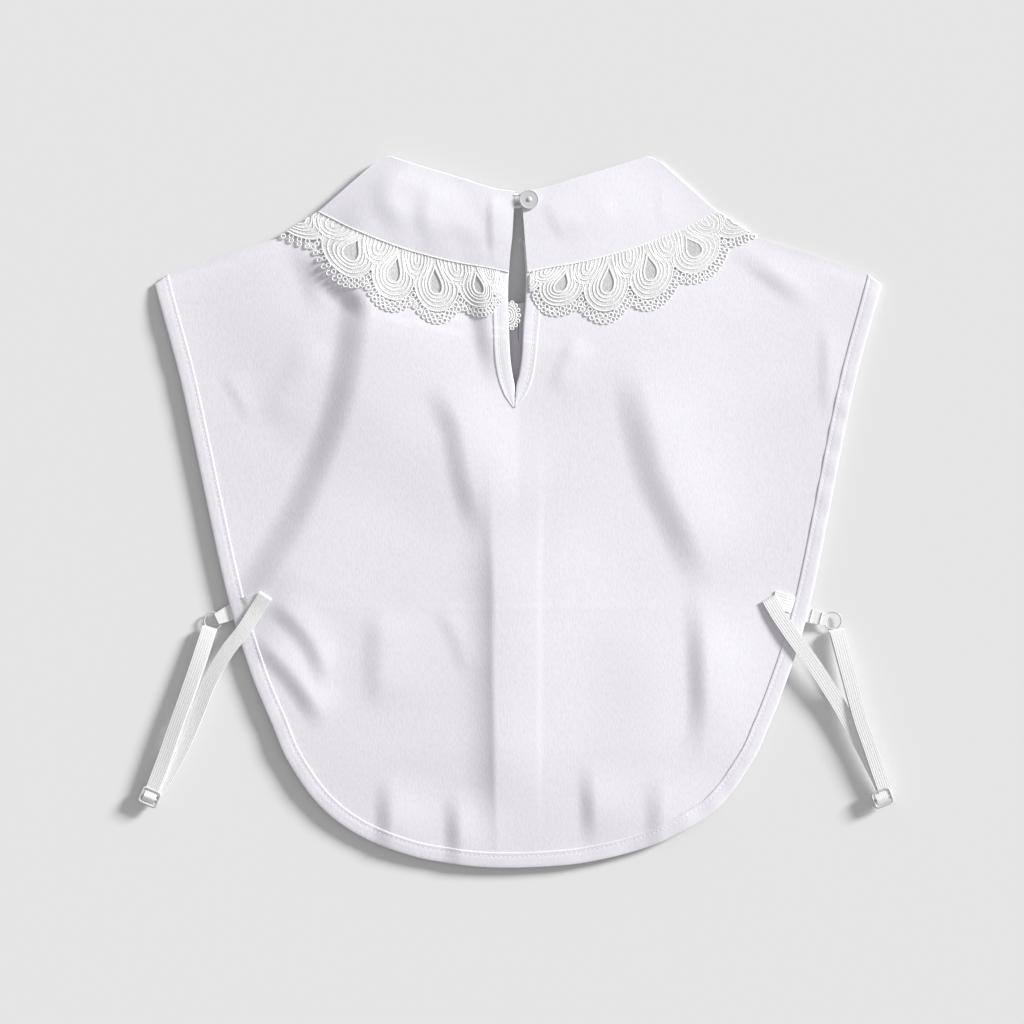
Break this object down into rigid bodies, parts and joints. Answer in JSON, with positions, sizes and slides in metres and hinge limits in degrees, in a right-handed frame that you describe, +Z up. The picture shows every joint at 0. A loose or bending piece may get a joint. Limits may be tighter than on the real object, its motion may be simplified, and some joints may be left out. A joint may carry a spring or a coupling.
{
  "type": "detachable lace collar half shirt",
  "caption": "Detachable shirt collar with scalloped lace edging on a half shirt, laid flat back side up, for wearing under a jumper.",
  "frame": {"origin": "centre of the laid-flat garment's bounding box, on the surface it lies on", "axes": "+Z up from the surface, +X across the back to the right as seen from above, +Y from the hem towards the neck"},
  "size_m": [0.3982, 0.3767, 0.0061],
  "materials": {
    "crepe": "matte crepe, fine vertical grain",
    "collar_cloth": "smooth interfaced crepe",
    "lace_thread": "matte corded thread",
    "elastic": "ribbed knit",
    "pearl": "pearly, polished",
    "coated": "smooth coating"
  },
  "bodies": {
    "root": {"front_panel": "crepe", "back_panel": "crepe", "back_binding": "crepe", "slit_binding_left": "crepe", "slit_binding_right": "crepe", "collar_left": "collar_cloth", "collar_right": "collar_cloth", "lace_left": "lace_thread", "lace_right": "lace_thread", "button": "pearl", "button_loop": "lace_thread", "strap_left": "elastic", "strap_right": "elastic", "tab_left": "elastic", "tab_right": "elastic", "ring_left": "coated", "ring_right": "coated", "slider_left": "coated", "slider_right": "coated"}
  },
  "joints": []
}
